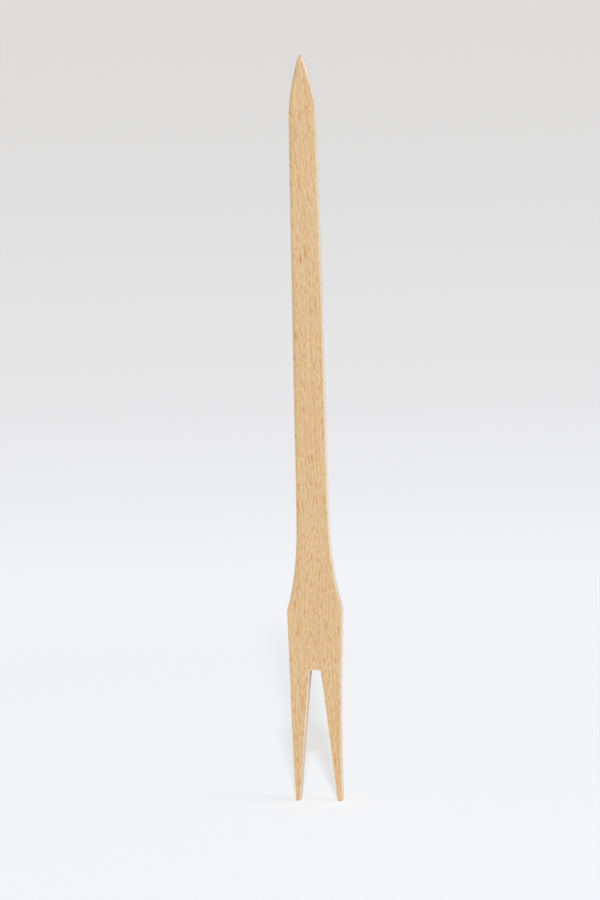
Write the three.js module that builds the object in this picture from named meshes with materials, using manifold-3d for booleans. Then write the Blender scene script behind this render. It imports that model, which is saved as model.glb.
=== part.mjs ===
// A wooden clay modelling tool, cut from one piece of beech: a long flat handle that ends at the
// top in a lancet point, and widens at the bottom into a head with two tapering tines.
//
// Millimetres, +Z up. The tool stands on the flat ends of its tines, with Z along its length,
// X across its width and Y through its thickness. The origin is midway between the tines' ends.
// The grain runs unbroken from the point to the tines, so the whole tool is a single solid.

import * as THREE from 'three';
import { mergeVertices } from 'three/addons/utils/BufferGeometryUtils.js';
import Module from 'manifold-3d';

// ---------------------------------------------------------------- driving dimensions

const LENGTH = 300; // from the tines' flat ends to the tip of the point
const THICKNESS = 5; // of the board that the tool is cut from

const POINT_LENGTH = 27; // the lancet point, down from the tip
const TIP_HALF_WIDTH = 0.55; // the point stops at a short blunt ridge

const HANDLE_TOP_HALF_WIDTH = 5.6; // where the handle meets the point
const NECK_HALF_WIDTH = 6.66; // where the handle starts to widen into the head
const NECK_HEIGHT = 111.5;

const SHOULDER_HEIGHT = 76.5; // the widest place, above the tines' ends
const SHOULDER_HALF_WIDTH = 11.2;
const FOOT_HALF_WIDTH = 9.4; // to the outside of a tine, at its end

const LEFT_EDGE_HOLLOW = -0.15; // the head's left edge is cut a little full
const RIGHT_EDGE_HOLLOW = 0.5; // and its right edge a little hollow, as hand work leaves it

const SLOT_TOP_HEIGHT = 52.65; // the slot between the tines
const SLOT_TOP_WIDTH = 4.5;
const SLOT_FOOT_WIDTH = 15.6;
const SLOT_CENTRE = -0.13; // the slot sits slightly off the tool's centre line
const SLOT_CORNER_RADIUS = 0.5;

const ARRIS_RADIUS = 0.4; // the lightly sanded edges of the head and the tines
const LEFT_GRIP_RADIUS = 1.8; // the rounded edges of the flare, the handle and the point
const RIGHT_GRIP_RADIUS = 0.9;
const GRIP_ROUNDING_STARTS = 77; // the rounding grows between these two heights
const GRIP_ROUNDING_FULL = 86;

// ---------------------------------------------------------------- how finely it is cut

const CORNER_SEGMENTS = 4; // facets round each edge of a cross-section
const MOST_CORNER_SHARE = 0.4; // of a narrow section's width that one rounded edge may take
const END_SEGMENTS = 3; // facets where the sides turn into the two ends
const HEAD_SECTIONS = 8;
const FLARE_SECTIONS = 12;
const HANDLE_SECTIONS = 8;
const POINT_SECTIONS = 16;
const SLOT_CORNER_SEGMENTS = 4;
const CUT_OVERRUN = 2; // how far the slot's wedge runs past the wood it cuts

// ---------------------------------------------------------------- outline and edges

const POINT_START = LENGTH - POINT_LENGTH;

/** Height of a flat circular arc above its chord, for a place given as 0 to 1 along the chord. */
function arcRise( rise, along ) {

	return 4 * rise * along * ( 1 - along );

}

/** Half-width of the head and tines, from the flat ends up to the shoulder. */
function headHalfWidth( z, hollow ) {

	const along = z / SHOULDER_HEIGHT;
	return THREE.MathUtils.lerp( FOOT_HALF_WIDTH, SHOULDER_HALF_WIDTH, along ) - arcRise( hollow, along );

}

/** Half-width of the concave flare from the shoulder up to the neck, a circular arc tangent to the handle. */
function flareHalfWidth( z ) {

	const run = NECK_HEIGHT - SHOULDER_HEIGHT;
	const rise = SHOULDER_HALF_WIDTH - NECK_HALF_WIDTH;
	const radius = ( run * run + rise * rise ) / ( 2 * rise );
	const drop = NECK_HEIGHT - z;
	return NECK_HALF_WIDTH + radius - Math.sqrt( radius * radius - drop * drop );

}

/** Half-width of the handle, a straight taper from the neck up to the point. */
function handleHalfWidth( z ) {

	return THREE.MathUtils.mapLinear( z, NECK_HEIGHT, POINT_START, NECK_HALF_WIDTH, HANDLE_TOP_HALF_WIDTH );

}

/** Half-width of the point, a circular arc tangent to the handle's sides. */
function pointHalfWidth( z ) {

	const drop = HANDLE_TOP_HALF_WIDTH - TIP_HALF_WIDTH;
	const radius = ( POINT_LENGTH * POINT_LENGTH + drop * drop ) / ( 2 * drop );
	const run = z - POINT_START;
	return HANDLE_TOP_HALF_WIDTH - radius + Math.sqrt( radius * radius - run * run );

}

/** Half-width on one side at any height. */
function halfWidth( z, hollow ) {

	if ( z <= SHOULDER_HEIGHT ) return headHalfWidth( z, hollow );
	if ( z <= NECK_HEIGHT ) return flareHalfWidth( z );
	if ( z <= POINT_START ) return handleHalfWidth( z );
	return pointHalfWidth( z );

}

/** Radius of the long edges on one side: crisp on the head and the tines, rounded from there up. */
function edgeRadius( z, gripRadius ) {

	const grows = THREE.MathUtils.smoothstep( z, GRIP_ROUNDING_STARTS, GRIP_ROUNDING_FULL );
	return THREE.MathUtils.lerp( ARRIS_RADIUS, gripRadius, grows );

}

// ---------------------------------------------------------------- cross-sections

/**
 * One cross-section, a rounded rectangle, as a ring of points that runs anticlockwise seen from above.
 * inset draws the whole section in, which rounds the sides over into the tool's two ends.
 */
function crossSection( z, inset = 0 ) {

	const left = - halfWidth( z, LEFT_EDGE_HOLLOW ) + inset;
	const right = halfWidth( z, RIGHT_EDGE_HOLLOW ) - inset;
	const depth = THICKNESS / 2 - inset;
	const most = MOST_CORNER_SHARE * ( right - left );
	const leftRadius = Math.min( edgeRadius( z, LEFT_GRIP_RADIUS ), most );
	const rightRadius = Math.min( edgeRadius( z, RIGHT_GRIP_RADIUS ), most );
	const corners = [
		[ right - rightRadius, - depth + rightRadius, rightRadius ],
		[ right - rightRadius, depth - rightRadius, rightRadius ],
		[ left + leftRadius, depth - leftRadius, leftRadius ],
		[ left + leftRadius, - depth + leftRadius, leftRadius ],
	];
	const ring = [];
	corners.forEach( ( [ x, y, radius ], quarter ) => {

		for ( let step = 0; step <= CORNER_SEGMENTS; step ++ ) {

			const angle = ( quarter - 1 + step / CORNER_SEGMENTS ) * Math.PI / 2;
			ring.push( new THREE.Vector3( x + radius * Math.cos( angle ), y + radius * Math.sin( angle ), z ) );

		}

	} );
	return ring;

}

/** Heights from one to another in equal steps, without the first one. */
function heights( from, to, count ) {

	return Array.from( { length: count }, ( _, i ) => from + ( to - from ) * ( i + 1 ) / count );

}

/** The cross-sections that turn the sides over into an end face, from the end inwards. */
function endSections( endHeight, inwards ) {

	const sections = [];
	for ( let step = 0; step <= END_SEGMENTS; step ++ ) {

		const angle = step / END_SEGMENTS * Math.PI / 2;
		const z = endHeight + inwards * ARRIS_RADIUS * ( 1 - Math.cos( angle ) );
		sections.push( crossSection( z, ARRIS_RADIUS * ( 1 - Math.sin( angle ) ) ) );

	}

	return sections;

}

/** All the cross-sections, from the tines' ends up to the tip. */
function allSections() {

	const between = [
		...heights( ARRIS_RADIUS, SLOT_TOP_HEIGHT, HEAD_SECTIONS ),
		...heights( SLOT_TOP_HEIGHT, SHOULDER_HEIGHT, HEAD_SECTIONS / 2 ),
		...heights( SHOULDER_HEIGHT, NECK_HEIGHT, FLARE_SECTIONS ),
		...heights( NECK_HEIGHT, POINT_START, HANDLE_SECTIONS ),
		...heights( POINT_START, LENGTH - ARRIS_RADIUS, POINT_SECTIONS ).slice( 0, - 1 ),
	];
	return [
		...endSections( 0, 1 ),
		...between.map( ( z ) => crossSection( z ) ),
		...endSections( LENGTH, - 1 ).reverse(),
	];

}

// ---------------------------------------------------------------- solids

/** A closed surface through rings of equal length, with a flat cap on the first and the last. */
function loft( rings ) {

	const size = rings[ 0 ].length;
	const index = [];
	for ( let r = 0; r < rings.length - 1; r ++ ) {

		for ( let i = 0; i < size; i ++ ) {

			const a = r * size + i;
			const b = r * size + ( i + 1 ) % size;
			index.push( a, b, b + size, a, b + size, a + size );

		}

	}

	const top = ( rings.length - 1 ) * size;
	for ( let i = 1; i < size - 1; i ++ ) {

		index.push( 0, i + 1, i );
		index.push( top, top + i, top + i + 1 );

	}

	const geometry = new THREE.BufferGeometry().setFromPoints( rings.flat() );
	geometry.setIndex( index );
	return geometry;

}

/** The slot between the tines, as a wedge that runs past both faces and below the tines' ends. */
function slotWedge() {

	const slope = ( SLOT_FOOT_WIDTH - SLOT_TOP_WIDTH ) / 2 / SLOT_TOP_HEIGHT;
	const top = SLOT_TOP_WIDTH / 2;
	const foot = SLOT_FOOT_WIDTH / 2 + slope * CUT_OVERRUN;
	const outline = new THREE.Shape();
	outline.moveTo( - foot, - CUT_OVERRUN );
	outline.lineTo( foot, - CUT_OVERRUN );
	outline.lineTo( top + slope * SLOT_CORNER_RADIUS, SLOT_TOP_HEIGHT - SLOT_CORNER_RADIUS );
	outline.quadraticCurveTo( top, SLOT_TOP_HEIGHT, top - SLOT_CORNER_RADIUS, SLOT_TOP_HEIGHT );
	outline.lineTo( - top + SLOT_CORNER_RADIUS, SLOT_TOP_HEIGHT );
	outline.quadraticCurveTo( - top, SLOT_TOP_HEIGHT, - top - slope * SLOT_CORNER_RADIUS,
		SLOT_TOP_HEIGHT - SLOT_CORNER_RADIUS );
	outline.closePath();

	const depth = THICKNESS + 2 * CUT_OVERRUN;
	const geometry = new THREE.ExtrudeGeometry( outline, {
		depth,
		bevelEnabled: false,
		curveSegments: SLOT_CORNER_SEGMENTS,
	} );
	geometry.rotateX( Math.PI / 2 ); // the outline's height becomes Z, and the extrusion runs along -Y
	geometry.translate( SLOT_CENTRE, depth / 2, 0 );
	return geometry;

}

const wasm = await Module();
wasm.setup();

/** A manifold-3d solid from a closed three.js geometry. */
function toSolid( geometry ) {

	const bare = geometry.clone();
	bare.deleteAttribute( 'normal' );
	bare.deleteAttribute( 'uv' );
	const merged = mergeVertices( bare );
	return new wasm.Manifold( new wasm.Mesh( {
		numProp: 3,
		vertProperties: new Float32Array( merged.attributes.position.array ),
		triVerts: new Uint32Array( merged.index.array ),
	} ) );

}

/** A three.js geometry from a manifold-3d solid. */
function toGeometry( solid ) {

	const { vertProperties, triVerts } = solid.getMesh();
	const geometry = new THREE.BufferGeometry();
	geometry.setAttribute( 'position', new THREE.BufferAttribute( vertProperties, 3 ) );
	geometry.setIndex( new THREE.BufferAttribute( triVerts, 1 ) );
	geometry.computeVertexNormals();
	return geometry;

}

// ---------------------------------------------------------------- the tool

function makeToolBody() {

	const blank = toSolid( loft( allSections() ) );
	const slot = toSolid( slotWedge() );
	const beech = new THREE.MeshStandardMaterial( { color: 0xdcbb92, roughness: 0.62, metalness: 0 } );
	const body = new THREE.Mesh( toGeometry( blank.subtract( slot ) ), beech );
	body.name = 'tool_body';
	return body;

}

const tool = new THREE.Group();
tool.add( makeToolBody() );

export default tool;
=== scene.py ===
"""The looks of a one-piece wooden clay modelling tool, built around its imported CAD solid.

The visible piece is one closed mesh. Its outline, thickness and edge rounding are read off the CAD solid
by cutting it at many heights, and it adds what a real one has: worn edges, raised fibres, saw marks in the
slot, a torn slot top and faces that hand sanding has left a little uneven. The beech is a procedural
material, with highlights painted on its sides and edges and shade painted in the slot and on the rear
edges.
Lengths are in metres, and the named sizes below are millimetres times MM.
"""

import math

import bpy
import numpy as np
from mathutils import Euler, Matrix, Vector, noise


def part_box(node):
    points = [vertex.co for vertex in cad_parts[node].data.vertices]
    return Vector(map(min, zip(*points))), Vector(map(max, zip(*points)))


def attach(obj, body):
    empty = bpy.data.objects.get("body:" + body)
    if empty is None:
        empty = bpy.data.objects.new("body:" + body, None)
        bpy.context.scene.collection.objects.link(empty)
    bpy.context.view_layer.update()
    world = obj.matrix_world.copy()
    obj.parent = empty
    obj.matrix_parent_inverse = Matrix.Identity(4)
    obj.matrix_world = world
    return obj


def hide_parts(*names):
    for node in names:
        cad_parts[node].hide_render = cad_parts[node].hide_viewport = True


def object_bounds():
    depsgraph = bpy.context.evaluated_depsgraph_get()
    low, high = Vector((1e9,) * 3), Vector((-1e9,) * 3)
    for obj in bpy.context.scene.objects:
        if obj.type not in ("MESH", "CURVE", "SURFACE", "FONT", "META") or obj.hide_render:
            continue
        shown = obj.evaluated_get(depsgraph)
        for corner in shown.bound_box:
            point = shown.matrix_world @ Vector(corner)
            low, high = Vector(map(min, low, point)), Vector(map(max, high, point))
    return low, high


MM = 0.001
NODE = "tool_body"

# How finely the visible mesh is cut
TINE_COLUMNS = 22
SLOT_COLUMNS = 12
ALL_COLUMNS = 2 * TINE_COLUMNS + SLOT_COLUMNS
ROW_STEP = 0.7 * MM
FINE_ROWS = 6  # rows in each short curved stretch, such as a rounded end or the slot's corners
ARRIS_STEPS = 4
WALL_STEPS = 8

# Shape details that the CAD solid leaves out
END_DEPTH = 1.0 * MM  # thickness and edge radius are read no closer than this to the tool's two ends
END_ROUND = 0.4 * MM
SLOT_ARRIS = 0.46 * MM
SLOT_CORNER = 0.5 * MM
TIP_ROUND = 0.9 * MM  # how the point's top is worn over through its thickness
TIP_STRETCH = 2.5 * MM  # the last stretch below the tip
TIP_LEAN = 0.25 * MM  # which is drawn to the right
TIP_NARROWS = 0.20 * MM  # and worn narrower on each side
INNER_FOOT_ROUND = {"left": 0.45 * MM, "right": 0.8 * MM}
MOST_ARRIS_SHARE = 0.34  # of a narrow stretch's width that one edge's rounding may take
LEAST_ARRIS = 0.1 * MM
SLOT_ARRIS_AT_FEET = 0.35  # of SLOT_ARRIS, from which it grows to the full radius
SLOT_ARRIS_GROWS = 36 * MM
# How much of the CAD solid's rounding the right edge has, and where that changes
HEAD_EDGE, HANDLE_EDGE, POINT_EDGE, TIP_EDGE = 1.0, 0.4, 0.2, 1.1
HANDLE_STARTS = 10 * MM  # above the shoulder
POINT_STARTS, POINT_CRISP = 28 * MM, 21 * MM  # below the tip
TIP_STARTS, TIP_WORN = 20 * MM, 6 * MM  # below the tip
COLUMNS_EVEN_OUT = 20 * MM  # above the slot, over which the columns spread evenly
SLOT_LIFT_FADES = 2.5 * MM  # above the slot, over which the rows straighten

# Hand-worked unevenness of the outline: (wavelength along the tool, height)
OUTLINE_WANDER = ((55 * MM, 0.35 * MM), (17 * MM, 0.045 * MM), (5 * MM, 0.012 * MM))
SLOT_CALM = 0.3  # the sawn slot strays this much of that
LEFT_SEED, RIGHT_SEED, SLOT_LEFT_SEED, SLOT_RIGHT_SEED = 48.1, 1006.03, 2.0, 3.0
# Relief of the surface: (wavelengths across, through and along the tool, height)
SANDED_RELIEF = (
    ((9 * MM, 9 * MM, 38 * MM), 0.030 * MM),
    ((1.7 * MM, 1.7 * MM, 24 * MM), 0.008 * MM),
    ((0.6 * MM, 0.6 * MM, 9 * MM), 0.007 * MM),
)
SAWN_RELIEF = (((30 * MM, 14 * MM, 1.1 * MM), 0.03 * MM), ((9 * MM, 0.5 * MM, 3 * MM), 0.012 * MM))
TORN_RELIEF = (((0.45 * MM, 1.6 * MM, 9 * MM), 0.13 * MM), ((1.4 * MM, 2.4 * MM, 9 * MM), 0.10 * MM))

# The flat map
MAP_STRIP = 60 * MM  # it cuts the tool into strips of this length
MAP_GAP = 0.8 * MM  # between the strips
BAKE_MAP = "OFBake"  # the name of the flat map that textures are baked onto


def smoothstep(low, high, value):
    """0 below low, 1 above high, and a smooth turn between."""
    share = np.clip((value - low) / (high - low), 0, 1)
    return share * share * (3 - 2 * share)


# ------------------------------------------------------------------ the CAD solid, read by cutting it

class CadOutline:
    """The outline, thickness and edge radius of a CAD node at any height."""

    def __init__(self, node):
        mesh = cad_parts[node].data
        mesh.calc_loop_triangles()
        corners = np.array([v.co for v in mesh.vertices], float)
        self.triangles = corners[np.array([t.vertices for t in mesh.loop_triangles])]
        low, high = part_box(node)
        self.bottom = low.z
        self.top = high.z
        self.shoulder = float(corners[corners[:, 0].argmax(), 2])
        self.slot_top = self._slot_top()

    def _spans(self, height):
        """The stretches across the tool that the solid covers at a height, as lists of cut points."""
        start = self.triangles
        end = np.roll(start, -1, axis=1)
        crosses = (start[..., 2] <= height) != (end[..., 2] <= height)
        rise = np.where(crosses, end[..., 2] - start[..., 2], 1.0)
        share = (height - start[..., 2]) / rise
        cuts = (start + share[..., None] * (end - start))[crosses].reshape(-1, 2, 3)
        cuts = cuts[cuts[..., 0].min(1).argsort()]
        touching = 0.01 * MM
        spans = []
        for cut in cuts:
            if spans and cut[:, 0].min() <= spans[-1][:, 0].max() + touching:
                spans[-1] = np.vstack([spans[-1], cut])
            else:
                spans.append(cut)
        return spans

    def _slot_top(self):
        """Height of the slot's top, by halving the stretch that it must lie in."""
        low, high = self.bottom + END_DEPTH, self.shoulder
        for _ in range(40):
            middle = (low + high) / 2
            if len(self._spans(middle)) > 1:
                low = middle
            else:
                high = middle
        return low

    def sides(self, height):
        """Left and right edge of each stretch of wood at a height, from left to right."""
        height = min(height, self.top - 1e-3 * MM)
        return [(s[:, 0].min(), s[:, 0].max()) for s in self._spans(height)]

    def section(self, height):
        """Half-thickness, and the rounding of the left and the right edge, at a height."""
        height = min(max(height, self.bottom + END_DEPTH), self.top - END_DEPTH)
        spans = self._spans(height)
        half = max(np.abs(s[:, 1]).max() for s in spans)
        flats = [s[s[:, 1] < -half + 0.005 * MM, 0] for s in spans]
        left_round = flats[0].min() - spans[0][:, 0].min()
        right_round = spans[-1][:, 0].max() - flats[-1].max()
        return half, left_round, right_round


# ------------------------------------------------------------------ rows and columns of the mesh

def row_heights(cad):
    """Heights of the mesh's rows, close together where the outline turns, and the row of the slot's top."""
    stops = (
        (cad.bottom, cad.bottom + END_ROUND, FINE_ROWS),
        (cad.bottom + END_ROUND, cad.slot_top - SLOT_CORNER, None),
        (cad.slot_top - SLOT_CORNER, cad.slot_top, FINE_ROWS),
        (cad.slot_top, cad.shoulder, None),
        (cad.shoulder, cad.top - END_ROUND, None),
        (cad.top - END_ROUND, cad.top, FINE_ROWS),
    )
    heights = [cad.bottom]
    for low, high, count in stops:
        steps = count or round((high - low) / ROW_STEP)
        heights.extend(np.linspace(low, high, steps + 1)[1:])
    heights = np.array(heights)
    return heights, int(np.abs(heights - cad.slot_top).argmin())


def boundary_path(rows, slot_row):
    """(row, column) of each vertex round the edge of a face: up the left side, over the point,
    down the right side, and back along the feet and the slot."""
    first_slot, last_slot = TINE_COLUMNS, TINE_COLUMNS + SLOT_COLUMNS
    top = rows - 1
    path = [(r, 0) for r in range(rows)]
    path += [(top, c) for c in range(1, ALL_COLUMNS + 1)]
    path += [(r, ALL_COLUMNS) for r in range(top - 1, -1, -1)]
    path += [(0, c) for c in range(ALL_COLUMNS - 1, last_slot - 1, -1)]
    path += [(r, last_slot) for r in range(1, slot_row + 1)]
    path += [(slot_row, c) for c in range(last_slot - 1, first_slot - 1, -1)]
    path += [(r, first_slot) for r in range(slot_row - 1, -1, -1)]
    path += [(0, c) for c in range(first_slot - 1, 0, -1)]
    return np.array(path)


def wander(heights, seed):
    """How far the hand-cut outline bulges out from the drawn one, along one side of the tool."""
    stray = np.zeros(len(heights))
    for wavelength, height in OUTLINE_WANDER:
        stray += height * np.array([noise.noise(Vector((h / wavelength, seed, 0.5))) for h in heights])
    return stray


def corner_round(height, radius):
    """How far a corner of that radius has drawn the side in, at a height above the end."""
    return radius - math.sqrt(max(0.0, radius**2 - max(0.0, radius - height) ** 2))


def edge_lines(cad, heights, slot_row):
    """X of the outer and the slot's edges at every row."""
    outer_left, outer_right, slot_left, slot_right = [], [], [], []
    for row, height in enumerate(heights):
        sides = cad.sides(height if row != slot_row else cad.slot_top - 1e-3 * MM)
        outer_left.append(sides[0][0])
        outer_right.append(sides[-1][1])
        if row <= slot_row:
            up = height - cad.bottom
            slot_left.append(sides[0][1] - corner_round(up, INNER_FOOT_ROUND["left"]))
            slot_right.append(sides[-1][0] + corner_round(up, INNER_FOOT_ROUND["right"]))
    at_tip = smoothstep(cad.top - TIP_STRETCH, cad.top, heights)
    outer_left = np.array(outer_left) + (TIP_LEAN + TIP_NARROWS) * at_tip
    outer_right = np.array(outer_right) + (TIP_LEAN - TIP_NARROWS) * at_tip
    in_slot = heights[: len(slot_left)]
    return (
        outer_left - wander(heights, LEFT_SEED),
        outer_right + wander(heights, RIGHT_SEED),
        np.array(slot_left) + SLOT_CALM * wander(in_slot, SLOT_LEFT_SEED),
        np.array(slot_right) - SLOT_CALM * wander(in_slot, SLOT_RIGHT_SEED),
    )


def outline_points(cad, heights, slot_row, path):
    """The outline (x, z) at each vertex of the boundary path."""
    outer_left, outer_right, slot_left, slot_right = edge_lines(cad, heights, slot_row)
    first_slot, last_slot = TINE_COLUMNS, TINE_COLUMNS + SLOT_COLUMNS
    top = len(heights) - 1
    points = []
    for row, column in path:
        if column == 0:
            x = outer_left[row]
        elif column == ALL_COLUMNS:
            x = outer_right[row]
        elif row == top:
            x = np.interp(column, (0, ALL_COLUMNS), (outer_left[top], outer_right[top]))
        elif row == 0 and column <= first_slot:
            x = np.interp(column, (0, first_slot), (outer_left[0], slot_left[0]))
        elif row == 0:
            x = np.interp(column, (last_slot, ALL_COLUMNS), (slot_right[0], outer_right[0]))
        elif row == slot_row:
            x = np.interp(column, (first_slot, last_slot), (slot_left[row], slot_right[row]))
        elif column == first_slot:
            x = slot_left[row]
        else:
            x = slot_right[row]
        points.append((x, heights[row]))
    return np.array(points)


def inward_normals(points):
    """Unit normals that point into the wood, for a path that runs clockwise seen from the front."""
    along = np.roll(points, -1, axis=0) - np.roll(points, 1, axis=0)
    normals = np.stack([along[:, 1], -along[:, 0]], axis=1)
    return normals / np.linalg.norm(normals, axis=1)[:, None]


def right_edge_shares(cad, heights):
    """How much of the CAD solid's rounding the right edge has at each height: all of it at the head, less
    along the handle, least at the start of the point, and more again towards the worn tip."""
    turns = (
        (cad.shoulder, HEAD_EDGE),
        (cad.shoulder + HANDLE_STARTS, HANDLE_EDGE),
        (cad.top - POINT_STARTS, HANDLE_EDGE),
        (cad.top - POINT_CRISP, POINT_EDGE),
        (cad.top - TIP_STARTS, POINT_EDGE),
        (cad.top - TIP_WORN, TIP_EDGE),
    )
    return np.interp(heights, *zip(*turns, strict=True))


def edge_radii(cad, heights, slot_row, path, points):
    """Half-thickness, and the rounding of the face's edge, at each vertex of the boundary path."""
    sections = [cad.section(height) for height in heights]
    right_shares = right_edge_shares(cad, heights)
    grown = smoothstep(cad.bottom, cad.bottom + SLOT_ARRIS_GROWS, heights)
    slot_rounds = SLOT_ARRIS * (SLOT_ARRIS_AT_FEET + (1 - SLOT_ARRIS_AT_FEET) * grown)
    halves, radii = [], []
    for (row, column), (x, _) in zip(path, points, strict=True):
        half, left_round, right_round = sections[row]
        half -= corner_round(cad.top - heights[row], TIP_ROUND)
        width = np.ptp(cad.sides(heights[row])[0 if x < 0 else -1])
        if row <= slot_row and TINE_COLUMNS <= column <= TINE_COLUMNS + SLOT_COLUMNS:
            radius = slot_rounds[row]
        elif x < 0:
            radius = left_round
        else:
            radius = right_round * right_shares[row]
        halves.append(half)
        radii.append(max(min(radius, MOST_ARRIS_SHARE * width), LEAST_ARRIS))
    return np.array(halves), np.array(radii)


# ------------------------------------------------------------------ the closed mesh

def face_grid(rim, path, heights, slot_row):
    """Every (x, z) of a flat face, spread between the points of its rim. Cells of the slot stay empty."""
    grid = np.full((len(heights), ALL_COLUMNS + 1, 2), np.nan)
    grid[path[:, 0], path[:, 1]] = rim
    first_slot, last_slot = TINE_COLUMNS, TINE_COLUMNS + SLOT_COLUMNS
    for row in range(slot_row + 1):
        for start, end in ((0, first_slot), (last_slot, ALL_COLUMNS)):
            share = np.linspace(0, 1, end - start + 1)[:, None]
            grid[row, start : end + 1] = (1 - share) * grid[row, start] + share * grid[row, end]
    slot_line = grid[slot_row]
    span = slot_line[-1, 0] - slot_line[0, 0]
    slot_shares = (slot_line[:, 0] - slot_line[0, 0]) / span
    slot_lift = slot_line[:, 1] - heights[slot_row]
    even_shares = np.linspace(0, 1, ALL_COLUMNS + 1)
    for row in range(slot_row + 1, len(heights) - 1):
        above = heights[row] - heights[slot_row]
        evened = smoothstep(0, COLUMNS_EVEN_OUT, above)
        shares = (1 - evened) * slot_shares + evened * even_shares
        left, right = grid[row, 0].copy(), grid[row, -1].copy()
        grid[row] = (1 - shares[:, None]) * left + shares[:, None] * right
        grid[row, :, 1] += slot_lift * math.exp(-above / SLOT_LIFT_FADES)
    return grid


def rim_profile(half, radius):
    """(inset, y) of each layer round the tool's edge, from the front face to the back face."""
    turn = np.linspace(0, math.pi / 2, ARRIS_STEPS + 1)
    inset = radius * (1 - np.sin(turn))
    depth = half - radius * (1 - np.cos(turn))
    wall = np.linspace(-(half - radius), half - radius, WALL_STEPS + 1)[1:-1]
    insets = np.concatenate([inset, np.zeros(len(wall)), inset[::-1]])
    return insets, np.concatenate([-depth, wall, depth[::-1]])


class ToolMesh:
    """Vertices, faces and flat map of the visible tool."""

    def __init__(self, cad):
        self.heights, self.slot_row = row_heights(cad)
        self.path = boundary_path(len(self.heights), self.slot_row)
        self.outline = outline_points(cad, self.heights, self.slot_row, self.path)
        self.halves, self.radii = edge_radii(cad, self.heights, self.slot_row, self.path, self.outline)
        self.vertices, self.faces, self.maps = [], [], []
        self.arris, self.torn, self.sawn = [], [], []
        front = self._add_face(side=-1)
        back = self._add_face(side=1)
        self._add_rim(front, back)

    def _add_vertices(self, points, arris=0.0):
        first = sum(len(v) for v in self.vertices)
        self.vertices.append(points)
        self.arris.append(np.full(len(points), arris) if np.isscalar(arris) else arris)
        return first

    def _add_face(self, side):
        """One flat face of the tool, front (-1) or back (1). Returns its grid of vertex numbers."""
        rim = self.outline + inward_normals(self.outline) * self.radii[:, None]
        grid = face_grid(rim, self.path, self.heights, self.slot_row)
        used = ~np.isnan(grid[..., 0])
        half_by_row = np.zeros(len(self.heights))
        half_by_row[self.path[:, 0]] = self.halves
        halves = np.broadcast_to(half_by_row[:, None], used.shape)[used]
        points = np.stack([grid[used][:, 0], side * halves, grid[used][:, 1]], axis=1)
        first = self._add_vertices(points)
        numbers = np.full(used.shape, -1)
        numbers[used] = np.arange(first, first + len(points))
        quads = np.stack(
            [numbers[:-1, :-1], numbers[:-1, 1:], numbers[1:, 1:], numbers[1:, :-1]], axis=-1
        )
        flat = np.stack([grid[:-1, :-1], grid[:-1, 1:], grid[1:, 1:], grid[1:, :-1]], axis=-2)
        in_slot = np.zeros(quads.shape[:2], bool)
        in_slot[: self.slot_row, TINE_COLUMNS : TINE_COLUMNS + SLOT_COLUMNS] = True
        strip = np.broadcast_to((self.heights[:-1, None] // MAP_STRIP).astype(int), in_slot.shape)
        quads, flat, strip = quads[~in_slot], flat[~in_slot], strip[~in_slot]
        if side > 0:
            quads, flat = quads[:, ::-1], flat[:, ::-1]
        self._add_faces(quads, flat, strip)
        return numbers

    def _add_rim(self, front, back):
        """The sides of the tool: a band round the whole outline, from the front face to the back face."""
        normals = inward_normals(self.outline)
        profiles = [rim_profile(h, r) for h, r in zip(self.halves, self.radii, strict=True)]
        insets = np.array([p[0] for p in profiles])
        depths = np.array([p[1] for p in profiles])
        places = self.outline[:, None] + normals[:, None] * insets[..., None]
        count, layers = insets.shape
        points = np.stack([places[..., 0], depths, places[..., 1]], axis=-1)
        turn = np.zeros(layers)
        turn[: ARRIS_STEPS + 1] = np.sin(np.linspace(0, math.pi, ARRIS_STEPS + 1))
        turn[-ARRIS_STEPS - 1 :] = turn[: ARRIS_STEPS + 1]
        inner = slice(1, layers - 1)
        first = self._add_vertices(
            points[:, inner].reshape(-1, 3), np.tile(turn[inner], count)
        )
        numbers = np.empty((count, layers), int)
        numbers[:, inner] = first + np.arange(count * (layers - 2)).reshape(count, -1)
        numbers[:, 0] = front[self.path[:, 0], self.path[:, 1]]
        numbers[:, -1] = back[self.path[:, 0], self.path[:, 1]]
        self.rim = numbers
        after = np.roll(numbers, -1, axis=0)
        quads = np.stack([numbers[:, :-1], after[:, :-1], after[:, 1:], numbers[:, 1:]], axis=-1)
        steps = np.linalg.norm(np.roll(self.outline, -1, axis=0) - self.outline, axis=1)
        along = np.concatenate([[0], np.cumsum(steps)])
        gaps = np.linalg.norm(np.diff(points, axis=1), axis=2)
        across = np.concatenate([np.zeros((count, 1)), np.cumsum(gaps, axis=1)], axis=1)
        flat = np.zeros((count, layers - 1, 4, 2))
        next_across = np.roll(across, -1, axis=0)
        corner_across = (across[:, :-1], next_across[:, :-1], next_across[:, 1:], across[:, 1:])
        corner_along = (along[:-1], along[1:], along[1:], along[:-1])
        for corner in range(4):
            flat[..., corner, 0] = corner_across[corner]
            flat[..., corner, 1] = corner_along[corner][:, None]
        strip = np.broadcast_to((along[:-1, None] // MAP_STRIP).astype(int), (count, layers - 1))
        self._add_faces(quads.reshape(-1, 4), flat.reshape(-1, 4, 2), strip.reshape(-1))

    def _add_faces(self, quads, flat, strip):
        """Adds faces whose strips, numbered from 0, become islands of the flat map."""
        first = 1 + max((int(m[1].max()) for m in self.maps), default=-1)
        self.faces.append(quads)
        self.maps.append((flat, strip + first))


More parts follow.
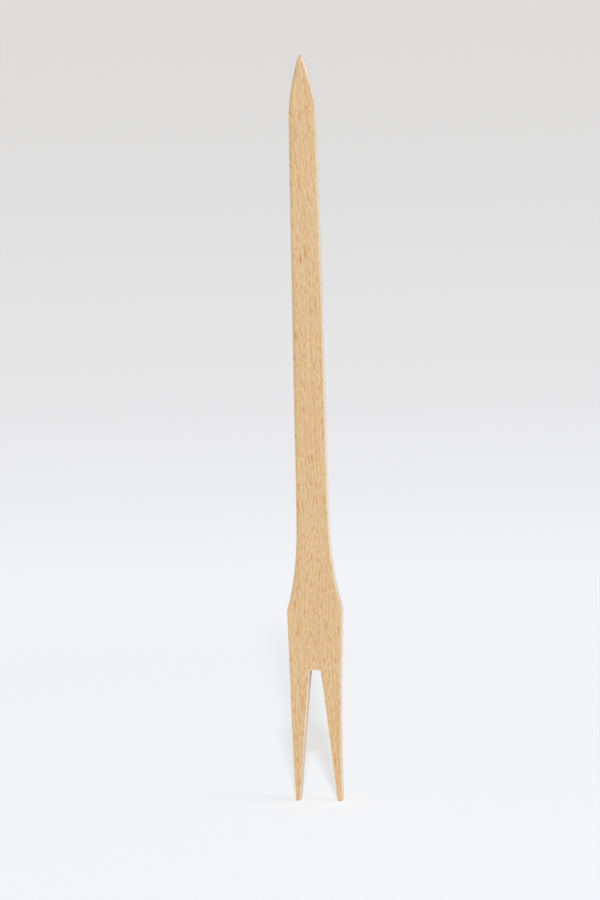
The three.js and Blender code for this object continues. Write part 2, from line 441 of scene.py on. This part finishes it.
def packed_map(tool):
    """Flat map coordinates from 0 to 1 of every face corner, with the strips packed side by side."""
    flat = np.concatenate([m[0] for m in tool.maps])
    strip = np.concatenate([m[1] for m in tool.maps])
    islands = range(strip.max() + 1)
    lows = np.array([flat[strip == i].reshape(-1, 2).min(0) for i in islands])
    sizes = np.array([flat[strip == i].reshape(-1, 2).max(0) for i in islands]) - lows
    tallest_first = sorted(islands, key=lambda i: -sizes[i, 1])
    width = math.sqrt((sizes + MAP_GAP).prod(1).sum())
    while True:
        places, height = shelves(sizes, tallest_first, width)
        if height <= width:
            break
        width *= 1.01
    flat = flat - lows[strip][:, None] + places[strip][:, None]
    return flat / width


def shelves(sizes, order, width):
    """Places islands in rows of a given width. Returns their places and the height they take."""
    places = np.zeros_like(sizes)
    x, y, shelf = MAP_GAP, MAP_GAP, 0.0
    for island in order:
        if x + sizes[island, 0] + MAP_GAP > width:
            x, y, shelf = MAP_GAP, y + shelf + MAP_GAP, 0.0
        places[island] = (x, y)
        x += sizes[island, 0] + MAP_GAP
        shelf = max(shelf, sizes[island, 1])
    return places, y + shelf + MAP_GAP


def relief(points, layers, seed):
    """Height of a rough surface at each point, from layers of stretched noise."""
    heights = np.zeros(len(points))
    for number, (wavelengths, height) in enumerate(layers):
        shift = Vector((11.7, 5.3, 7.9)) * (seed + number)
        scaled = points / np.array(wavelengths)
        heights += height * np.array([noise.noise(Vector(p) + shift) for p in scaled])
    return heights


def rough_places(tool, count):
    """How torn and how sawn each vertex is, 0 to 1: the slot's top is torn and its walls are sawn."""
    torn, sawn = np.zeros(count), np.zeros(count)
    rows, columns = tool.path[:, 0], tool.path[:, 1]
    first_slot, last_slot = TINE_COLUMNS, TINE_COLUMNS + SLOT_COLUMNS
    in_slot = (rows <= tool.slot_row) & (columns >= first_slot) & (columns <= last_slot)
    on_top = in_slot & (rows >= tool.slot_row - FINE_ROWS // 2)
    torn[tool.rim[on_top, 1:-1]] = 1.0
    sawn[tool.rim[in_slot & ~on_top, 1:-1]] = 1.0
    feet = (rows == 0) & ~on_top
    sawn[tool.rim[feet, 1:-1]] = 1.0
    return torn, sawn


def build_tool(cad):
    """The visible tool as one Blender object."""
    tool = ToolMesh(cad)
    points = np.concatenate(tool.vertices)
    faces = np.concatenate(tool.faces)
    mesh = bpy.data.meshes.new("beech_tool")
    mesh.from_pydata(points.tolist(), [], faces.tolist())
    torn, sawn = rough_places(tool, len(points))
    push = relief(points, SANDED_RELIEF, seed=3)
    push += sawn * relief(points, SAWN_RELIEF, seed=20)
    push += torn * relief(points, TORN_RELIEF, seed=40)
    normals = np.array([v.vector for v in mesh.vertex_normals])
    mesh.vertices.foreach_set("co", (points + push[:, None] * normals).astype(np.float32).ravel())
    mesh.uv_layers.new(name=BAKE_MAP).data.foreach_set("uv", packed_map(tool).astype(np.float32).ravel())
    for name, values in (("arris", np.concatenate(tool.arris)), ("torn", torn), ("sawn", sawn)):
        attribute = mesh.attributes.new(name, "FLOAT", "POINT")
        attribute.data.foreach_set("value", values.astype(np.float32))
    mesh.shade_smooth()
    mesh.update()
    piece = bpy.data.objects.new("beech_tool", mesh)
    bpy.context.scene.collection.objects.link(piece)
    return piece


# ------------------------------------------------------------------ a small language for shader nodes

class Value:
    """A number in a shader. Arithmetic on values adds the nodes that do it."""

    def __init__(self, shader, socket):
        self.shader = shader
        self.socket = socket

    def __add__(self, other):
        return self.shader.math("ADD", self, other)

    def __sub__(self, other):
        return self.shader.math("SUBTRACT", self, other)

    def __mul__(self, other):
        return self.shader.math("MULTIPLY", self, other)

    def __truediv__(self, other):
        return self.shader.math("DIVIDE", self, other)

    __radd__ = __add__
    __rmul__ = __mul__

    def __rsub__(self, other):
        return self.shader.math("SUBTRACT", other, self)


class Shader:
    """Adds nodes to a material or world and wires them up, one call for each node."""

    def __init__(self, owner):
        owner.use_nodes = True
        self.tree = owner.node_tree
        self.tree.nodes.clear()

    def node(self, kind, inputs=(), **settings):
        made = self.tree.nodes.new(kind)
        for name, value in settings.items():
            setattr(made, name, value)
        for name, value in dict(inputs).items():
            self.feed(made.inputs[name], value)
        return made

    def feed(self, socket, value):
        source = value.socket if isinstance(value, Value) else value
        if isinstance(source, bpy.types.NodeSocket):
            self.tree.links.new(source, socket)
        else:
            socket.default_value = source

    def math(self, operation, a, b):
        made = self.node("ShaderNodeMath", {0: a, 1: b}, operation=operation)
        return Value(self, made.outputs[0])

    def clamp(self, value):
        made = self.node("ShaderNodeClamp", {"Value": value})
        return Value(self, made.outputs[0])

    def smooth(self, value, low, high):
        """0 where value is below low, 1 above high, and a smooth turn between. Low may be above high."""
        made = self.node(
            "ShaderNodeMapRange",
            {"Value": value, "From Min": low, "From Max": high},
            interpolation_type="SMOOTHSTEP",
        )
        return Value(self, made.outputs[0])

    def attribute(self, name):
        made = self.node("ShaderNodeAttribute", attribute_name=name)
        return Value(self, made.outputs["Fac"])

    def split(self, vector):
        made = self.node("ShaderNodeSeparateXYZ", {0: vector})
        return [Value(self, made.outputs[axis]) for axis in range(3)]

    def join(self, x, y, z):
        return self.node("ShaderNodeCombineXYZ", {0: x, 1: y, 2: z}).outputs[0]

    def noise(self, vector, detail=2.0, roughness=0.5):
        """Smooth noise from 0 to 1 whose wavelength is one unit of the vector."""
        made = self.node(
            "ShaderNodeTexNoise",
            {"Vector": vector, "Scale": 1.0, "Detail": detail, "Roughness": roughness},
        )
        return Value(self, made.outputs[0])

    def cells(self, x, y):
        """Distance to the nearest of a scatter of points, one to a unit square, and two numbers that
        are that point's own."""
        made = self.node(
            "ShaderNodeTexVoronoi",
            {"Vector": self.join(x, y, 0.0), "Scale": 1.0},
            voronoi_dimensions="2D",
        )
        number, other, _ = self.split(made.outputs["Color"])
        return Value(self, made.outputs["Distance"]), number, other

    def mix(self, a, b, share, blend="MIX"):
        """Colour a turned into colour b by a share from 0 to 1."""
        made = self.node("ShaderNodeMix", data_type="RGBA", blend_type=blend)
        for slot, value in ((0, share), (6, a), (7, b)):
            self.feed(made.inputs[slot], value)
        return made.outputs[2]


# ------------------------------------------------------------------ beech

BEECH_PALE = (0.772, 0.540, 0.314, 1)
BEECH_WARM = (0.638, 0.366, 0.143, 1)
FLECK = (0.56, 0.21, 0.025, 1)
SIDE_HIGHLIGHT = (0.82, 0.65, 0.465, 1)  # painted highlight: the sides paler than the faces, where light grazes them
POINT_SIDE_HIGHLIGHT = (0.94, 0.84, 0.69, 1)  # painted highlight, paler still, along the handle and the point
BACK_EDGE_SHADE = (0.50, 0.36, 0.30, 1)  # painted shade along the rear edge of the sides of the head and the tines
SLOT_WALL_SHADE = (0.36, 0.18, 0.10, 1)  # painted shade at the upper end of the slot's walls
END_GRAIN = (0.50, 0.30, 0.15, 1)
# pale torn fibres at the slot's top, also used for the painted highlight along the slot's left edge
FIBRE_AND_HIGHLIGHT = (0.90, 0.73, 0.545, 1)

# Lengths in the material are in millimetres.
GRAIN_SHIFT = 330.0  # which stretch of the endless grain pattern the tool is cut from
GRAIN_SLOPE = 0.02  # how far the grain runs across the tool for its length
GRAIN_DRIFT = 7.0  # and how far it strays from a straight line
POINT_LEAN = 4.5  # and how far it leans over the point
GRAIN_TILT = 0.6  # how far the grain pattern moves across for each millimetre through the thickness

# Fibres: width, length, noise detail and roughness, and how far a pale one lies from a dark one
FINE_FIBRES = (0.42, 4.0, 3.0, 0.80, 0.66)
LONG_FIBRES = (0.55, 36.0, 2.0, 0.6, 0.7)
FINE_STRENGTH, LONG_STRENGTH = 2.1, 1.3
LONG_FIBRE_SHIFT = 13.0  # across, so that the two kinds don't lie on each other
# Flecks: spacing across and along the grain, size as a share of the spacing, and a shift of the whole
# scatter across and along the grain, so that no kind lies on another
LARGE_FLECKS = (1.1, 10.0, 0.19, 0.0, 0.0)
SMALL_FLECKS = (0.72, 5.0, 0.26, 31.0, 17.0)
LONG_FLECKS = (1.6, 26.0, 0.125, 53.0, 40.0)
PALE_FLECKS = (0.9, 7.0, 0.25, 71.0, 5.0)
# Larger patterns: wavelengths across, through and along the grain, or across and along it
DRIFT_WAVES = (60.0, 30.0, 75.0)
STREAK_WAVES = (2.4, 70.0)
CLOUD_WAVES = (8.0, 36.0)
RING_WAVES = (5.0, 1.7, 160.0)
PORE_SPACING = (0.28, 2.2)
END_PORE_SPACING = 0.23
BUMP_HEIGHT = 0.035
FRAY_WIDTH, FRAY_LENGTH = 0.5, 0.8

# How squarely a place faces front or back: where the sides' painted highlight starts, and where it is
# complete
TURNED_SIDEWAYS = (0.835, 0.312)
REAR_SHADE = (1.5, 2.4)  # the same for the painted shade on the rear edge, in depth behind the middle of the thickness

# Where the colour changes along the tool, as heights from the feature that each one belongs to:
# (where the change starts, where it is complete)
TINES_DARKEN = (60.0, 25.0)  # above the feet
SLOT_HIGHLIGHT_GROWS = (12.0, 46.0)  # painted highlight on the slot's left edge, above the feet
SLOT_SHADE_DEEPENS = (-11.65, -1.15)  # painted shade in the slot's walls, from the slot's top
SLOT_HIGHLIGHT_ENDS = (7.35, 1.35)  # where that painted highlight ends, from the slot's top
HANDLE_HIGHLIGHT_GROWS = (-4.5, 15.5)  # painted highlight of the sides, from the shoulder
GRAIN_LEANS = (-65.0, 0.0)  # from the tip
POINT_HIGHLIGHT_GROWS = (-36.0, -12.0)  # painted highlight of the point's sides, from the tip
TIP_HIGHLIGHT_GROWS = (-22.0, -8.0)  # painted highlight on the tip's right edge, from the tip


def fibres(s, across, depth, along, kind):
    """Dark and pale fibres side by side, from about -0.5 for dark to 0.5 for pale."""
    width, length, detail, roughness, apart = kind

    def layer(shift):
        place = s.join((across + shift) / width, depth / width, along / length)
        return s.noise(place, detail=detail, roughness=roughness)

    return layer(0.0) - 0.5 * (layer(apart) + layer(-apart))


def flecks(s, across, along, kind):
    """Ray flecks, short dashes along the grain, each with paler wood round it.
    Returns how much each place is a fleck, and how much it is the paler wood, 0 to 1."""
    spacing, length, size, shift_across, shift_along = kind
    distance, number, strength = s.cells(
        (across + shift_across) / spacing, (along + shift_along) / length
    )
    reach = size * (0.60 + 0.70 * number)
    fleck = s.smooth(distance, reach, reach * 0.35)
    beside = s.smooth(distance, reach * 2.2, reach * 1.2) - fleck
    return fleck * s.smooth(strength, 0.0, 0.8), beside


class Beech:
    """Unvarnished flat-sawn beech whose grain runs along the tool, with highlight and shade painted into
    its colour. Each method adds one of its features.
    """

    def __init__(self, cad):
        self.material = bpy.data.materials.new("beech")
        self.cad = cad
        self.s = Shader(self.material)
        self.set_places()
        self.add_grain()
        self.add_flecks()
        self.add_pores()
        self.add_side_highlight_and_shade()
        self.add_sawn_highlight_and_shade()
        self.add_end_grain()
        self.add_torn_fibres()
        self.add_worn_edges_and_highlights()
        self.add_surface()

    def set_places(self):
        """Places on the tool, and in the wood's own grain, with the marks that the mesh carries."""
        s = self.s
        x, y, z = [axis / MM for axis in s.split(s.node("ShaderNodeTexCoord").outputs["Object"])]
        self.x, self.y, self.z = x, y, z
        self.normal = s.split(s.node("ShaderNodeNewGeometry").outputs["Normal"])
        self.arris, self.torn, self.sawn = [s.attribute(name) for name in ("arris", "torn", "sawn")]
        self.fray = s.noise(s.join(x / FRAY_WIDTH, y / FRAY_WIDTH, z / FRAY_LENGTH), detail=2.0)
        width, thickness, length = DRIFT_WAVES
        drift = s.noise(s.join(x / width, y / thickness, z / length), detail=1.0) - 0.5
        lean = POINT_LEAN * self.stretch(self.cad.top, GRAIN_LEANS)
        self.across = x + GRAIN_SLOPE * z + GRAIN_DRIFT * drift + lean + GRAIN_TILT * y
        self.depth = y + 1.5 * drift
        self.along = z + GRAIN_SHIFT

    def stretch(self, feature, reach):
        """0 to 1 over a stretch of the tool's length, given by its reach from a feature's height."""
        return self.s.smooth(self.z, feature / MM + reach[0], feature / MM + reach[1])

    def paint(self, colour, share):
        self.colour = self.s.mix(self.colour, colour, share)

    def add_grain(self):
        """Pale and warm wood in fibres, streaks, clouds and growth rings."""
        s, across, depth, along = self.s, self.across, self.depth, self.along
        self.fine = fibres(s, across, depth, along, FINE_FIBRES)
        self.long = fibres(s, across + LONG_FIBRE_SHIFT, depth, along, LONG_FIBRES)
        width, length = STREAK_WAVES
        streak = s.noise(s.join(across / width + 9.0, depth / width, along / length), detail=1.0)
        width, length = CLOUD_WAVES
        cloud = s.noise(s.join(across / width, depth / width, along / length), detail=2.0)
        width, thickness, length = RING_WAVES
        ring = s.noise(s.join(depth / thickness + across / width, 0.0, along / length), detail=1.0)
        tone = 0.5 + FINE_STRENGTH * self.fine + LONG_STRENGTH * self.long + 0.4 * (streak - 0.5)
        tone = tone + 0.4 * (cloud - 0.5) + 0.4 * (ring - 0.5)
        tone = tone - 0.12 * self.stretch(self.cad.bottom, TINES_DARKEN)
        self.colour = s.mix(BEECH_WARM, BEECH_PALE, s.clamp(tone))

    def add_flecks(self):
        s, across, along = self.s, self.across, self.along
        long, beside_long = flecks(s, across, along, LONG_FLECKS)
        large, beside_large = flecks(s, across, along, LARGE_FLECKS)
        small, _ = flecks(s, across, along, SMALL_FLECKS)
        pale, _ = flecks(s, across, along, PALE_FLECKS)
        self.fleck = s.math("MAXIMUM", s.math("MAXIMUM", long, large), small * 0.60)
        self.paint(BEECH_PALE, s.math("MAXIMUM", beside_large * 0.45, beside_long * 0.3))
        self.paint(BEECH_PALE, pale * 0.5)
        self.paint(FLECK, self.fleck)

    def add_pores(self):
        s = self.s
        distance, number, _ = s.cells(self.across / PORE_SPACING[0] + 7.0, self.along / PORE_SPACING[1])
        self.pore = s.smooth(distance, 0.24, 0.10) * s.smooth(number, 0.45, 0.75)
        self.paint(FLECK, self.pore * 0.30)

    def add_side_highlight_and_shade(self):
        """Painted highlight on the sides, which are painted paler, palest along the handle and the point,
        and painted shade along the rear edge of the sides of the head and the tines.
        """
        s, cad = self.s, self.cad
        faces_out = s.smooth(s.math("ABSOLUTE", self.normal[1], 0.0), *TURNED_SIDEWAYS)
        self.side = faces_out * (1.0 - self.sawn)
        handle = self.stretch(cad.shoulder, HANDLE_HIGHLIGHT_GROWS)
        point = self.stretch(cad.top, POINT_HIGHLIGHT_GROWS)
        rear_shade = s.smooth(self.y, *REAR_SHADE)
        # painted highlight: the sides painted paler, more along the handle and the point
        self.paint(SIDE_HIGHLIGHT, self.side * (0.60 + 0.30 * handle))
        self.paint(POINT_SIDE_HIGHLIGHT, self.side * (0.36 * handle + 0.25 * point))
        # painted shade along the rear edge of the sides of the head and the tines
        self.paint(BACK_EDGE_SHADE, self.side * rear_shade * (0.35 - 0.35 * handle))

    def add_sawn_highlight_and_shade(self):
        """The slot's walls and the feet, left by the saw: painted paler as a painted highlight, with
        painted shade deepening towards the slot's top.
        """
        # painted highlight: the sawn walls and the feet painted paler
        self.paint(SIDE_HIGHLIGHT, self.sawn * 0.68)
        # painted shade in the narrow upper end of the slot
        self.paint(SLOT_WALL_SHADE, self.sawn * self.stretch(self.cad.slot_top, SLOT_SHADE_DEEPENS) * 0.66)

    def add_end_grain(self):
        """The feet, cut across the grain, with open pores."""
        s = self.s
        self.end = s.smooth(self.normal[2] * -1.0, 0.55, 0.9)
        distance, number, _ = s.cells(self.x / END_PORE_SPACING, self.y / END_PORE_SPACING)
        self.end_pore = s.smooth(distance, 0.35, 0.12) * s.smooth(number, 0.3, 0.6)
        self.paint(s.mix(END_GRAIN, FLECK, self.end_pore * 0.6), self.end * 0.8)

    def add_torn_fibres(self):
        self.paint(FIBRE_AND_HIGHLIGHT, self.torn * self.s.smooth(self.fray, 0.42, 0.62) * 0.75)

    def add_worn_edges_and_highlights(self):
        """Edges rubbed a little paler, and painted highlights on the right-facing edge at the tip and along
        the slot's left edge.
        """
        s, cad = self.s, self.cad
        self.paint(BEECH_PALE, self.arris * 0.15)
        faces_right = s.smooth(self.normal[0], 0.02, 0.2)
        tip_highlight = s.smooth(self.arris, 0.1, 0.5) * faces_right * self.stretch(cad.top, TIP_HIGHLIGHT_GROWS)
        # painted highlight on the right-facing edge near the tip
        self.paint(POINT_SIDE_HIGHLIGHT, tip_highlight * 0.4)
        in_slot = s.smooth(s.math("ABSOLUTE", self.x, 0.0), 8.0, 6.5)
        in_slot = in_slot * self.stretch(cad.slot_top, SLOT_HIGHLIGHT_ENDS)
        slot_edge_highlight = self.arris * in_slot * s.smooth(self.normal[0], -0.35, 0.1)
        slot_edge_highlight = slot_edge_highlight * s.smooth(self.fray, 0.30, 0.55)
        slot_edge_highlight = slot_edge_highlight * (0.10 + 0.90 * self.stretch(cad.bottom, SLOT_HIGHLIGHT_GROWS))
        # painted highlight along the slot's left edge
        self.paint(FIBRE_AND_HIGHLIGHT, s.clamp(slot_edge_highlight * 1.3))

    def add_surface(self):
        """A dry, faintly silky surface with raised fibres, and flecks and pores sunk into it."""
        s = self.s
        height = self.fine * 0.7 + self.long * 0.35 - self.fleck * 0.55 - self.pore * 0.45
        height = height - self.end * self.end_pore
        bump = s.node(
            "ShaderNodeBump", {"Strength": 0.55, "Distance": BUMP_HEIGHT * MM, "Height": height}
        )
        rough = 0.56 + 0.16 * self.fine - 0.06 * self.fleck - 0.24 * self.side + 0.16 * self.end
        surface = s.node(
            "ShaderNodeBsdfPrincipled",
            {
                "Base Color": self.colour,
                "Roughness": rough,
                "Specular IOR Level": 0.5,
                "Sheen Weight": 0.3,
                "Sheen Roughness": 0.3,
                "Normal": bump.outputs[0],
            },
        )
        s.node("ShaderNodeOutputMaterial", {"Surface": surface.outputs[0]})


# ------------------------------------------------------------------ studio

FLOOR_RADIUS = 60.0
FLOOR_REFLECTANCE = (0.95, 0.95, 0.95, 1)
FLOOR_GLOW = (0.284, 0.298, 0.330, 1)  # lifts the shaded floor, so that the shadows stay soft and pale
SHADOWS_FADE = (0.35, 1.2)  # from the tool, between which the lit floor turns into plain backdrop
NEAR_TONE = (0.928, 0.945, 0.977, 1)
HORIZON_TONE = (0.812, 0.812, 0.825, 1)
TOP_TONE = (0.725, 0.715, 0.71, 1)
TONE_FALLOFF = 2.0  # metres, where the backdrop is halfway from near to horizon
AMBIENT = (0.442, 0.417, 0.376, 1)
SOFTBOXES = {
    "key_light": {
        "direction": (0.208, -0.885, 0.355),
        "distance": 12.0,
        "size": 0.60,
        "brightness": 0.425,
        "colour": (0.85, 1.0, 1.16),
    },
    "side_light": {
        "direction": (0.95, -0.12, 0.30),
        "distance": 8.0,
        "size": 6.0,
        "brightness": 0.28,
        "colour": (0.97, 1.0, 1.06),
    },
}


def floor_material():
    """A pale floor that fades with distance into the tone of the background, so that no edge shows."""
    material = bpy.data.materials.new("studio_floor")
    s = Shader(material)
    place = s.node("ShaderNodeTexCoord").outputs["Object"]
    distance = Value(s, s.node("ShaderNodeVectorMath", {0: place}, operation="LENGTH").outputs["Value"])
    fall = s.math("POWER", distance / TONE_FALLOFF, 1.6)
    far_colour = s.mix(HORIZON_TONE, NEAR_TONE, s.math("DIVIDE", 1.0, fall + 1.0))
    lit = s.node("ShaderNodeBsdfDiffuse", {"Color": FLOOR_REFLECTANCE})
    glow = s.node("ShaderNodeEmission", {"Color": FLOOR_GLOW})
    near = s.node("ShaderNodeAddShader", {0: lit.outputs[0], 1: glow.outputs[0]})
    far = s.node("ShaderNodeEmission", {"Color": far_colour})
    share = s.smooth(distance, *SHADOWS_FADE)
    both = s.node("ShaderNodeMixShader", {0: share, 1: near.outputs[0], 2: far.outputs[0]})
    s.node("ShaderNodeOutputMaterial", {"Surface": both.outputs[0]})
    return material


def add_floor(height):
    bpy.ops.mesh.primitive_circle_add(
        vertices=96, radius=FLOOR_RADIUS, fill_type="NGON", location=(0, 0, height)
    )
    floor = bpy.context.object
    floor.name = "studio_floor"
    floor.data.materials.append(floor_material())


def add_surroundings(ambient):
    """Even soft light from all round, and a background that darkens gently above the horizon."""
    world = bpy.data.worlds.new("studio")
    bpy.context.scene.world = world
    s = Shader(world)
    direction = s.split(s.node("ShaderNodeTexCoord").outputs["Generated"])
    upwards = s.smooth(direction[2], -0.03, 0.17)
    seen = s.mix(HORIZON_TONE, TOP_TONE, upwards)
    backdrop = s.node("ShaderNodeBackground", {"Color": seen})
    light = s.node("ShaderNodeBackground", {"Color": ambient})
    camera_sees = s.node("ShaderNodeLightPath").outputs["Is Camera Ray"]
    both = s.node(
        "ShaderNodeMixShader", {0: camera_sees, 1: light.outputs[0], 2: backdrop.outputs[0]}
    )
    s.node("ShaderNodeOutputWorld", {"Surface": both.outputs[0]})


def add_softbox(name, target, direction, distance, size, brightness, colour):
    """A square light aimed at target. Brightness 1 lights a surface as even white light all round would."""
    lamp = bpy.data.lights.new(name, "AREA")
    lamp.size = size
    lamp.energy = brightness * (math.pi * distance) ** 2
    lamp.color = colour
    softbox = bpy.data.objects.new(name, lamp)
    bpy.context.scene.collection.objects.link(softbox)
    towards = Vector(direction).normalized()
    softbox.location = target + towards * distance
    softbox.rotation_euler = towards.to_track_quat("Z", "Y").to_euler()
    softbox.visible_camera = False


CAMERA_AZIMUTH = math.radians(12.0)  # to the right of the front
CAMERA_ELEVATION = math.radians(1.0)
CAMERA_ROLL = math.radians(-1.49)  # the tool's top leans left in the picture
CAMERA_DISTANCE = 0.9
PICTURE_HEIGHT = 362 * MM  # what the picture spans at the tool
AIM_BELOW_MIDDLE = 8.72 * MM
AIM_LEFT_OF_MIDDLE = 4.28 * MM


def add_camera(middle):
    """A long lens at the tool's own level, a little to its right."""
    lens = bpy.data.cameras.new("camera")
    lens.lens = lens.sensor_width * CAMERA_DISTANCE / PICTURE_HEIGHT
    camera = bpy.data.objects.new("camera", lens)
    bpy.context.scene.collection.objects.link(camera)
    back = Vector((
        math.sin(CAMERA_AZIMUTH) * math.cos(CAMERA_ELEVATION),
        -math.cos(CAMERA_AZIMUTH) * math.cos(CAMERA_ELEVATION),
        math.sin(CAMERA_ELEVATION),
    ))
    turn = back.to_track_quat("Z", "Y").to_matrix() @ Euler((0, 0, CAMERA_ROLL)).to_matrix()
    aim = middle - turn.col[0] * AIM_LEFT_OF_MIDDLE - turn.col[1] * AIM_BELOW_MIDDLE
    camera.matrix_world = Matrix.Translation(aim + back * CAMERA_DISTANCE) @ turn.to_4x4()
    bpy.context.scene.camera = camera


# ------------------------------------------------------------------ the scene

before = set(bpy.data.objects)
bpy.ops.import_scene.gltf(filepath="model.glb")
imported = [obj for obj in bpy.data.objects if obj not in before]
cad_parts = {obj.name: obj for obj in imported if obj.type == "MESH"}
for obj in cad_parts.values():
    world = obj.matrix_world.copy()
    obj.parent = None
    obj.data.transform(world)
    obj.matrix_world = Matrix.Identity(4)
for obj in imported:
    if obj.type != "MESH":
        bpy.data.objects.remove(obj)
cad_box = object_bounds()

outline = CadOutline(NODE)
tool_piece = build_tool(outline)
tool_piece.data.materials.append(Beech(outline).material)
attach(tool_piece, "root")
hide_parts(NODE)

tool_middle = (cad_box[0] + cad_box[1]) / 2
add_floor(cad_box[0].z)
add_surroundings(AMBIENT)
for light_name, light in SOFTBOXES.items():
    add_softbox(light_name, tool_middle, **light)
add_camera(tool_middle)
bpy.context.scene.view_settings.view_transform = "Standard"
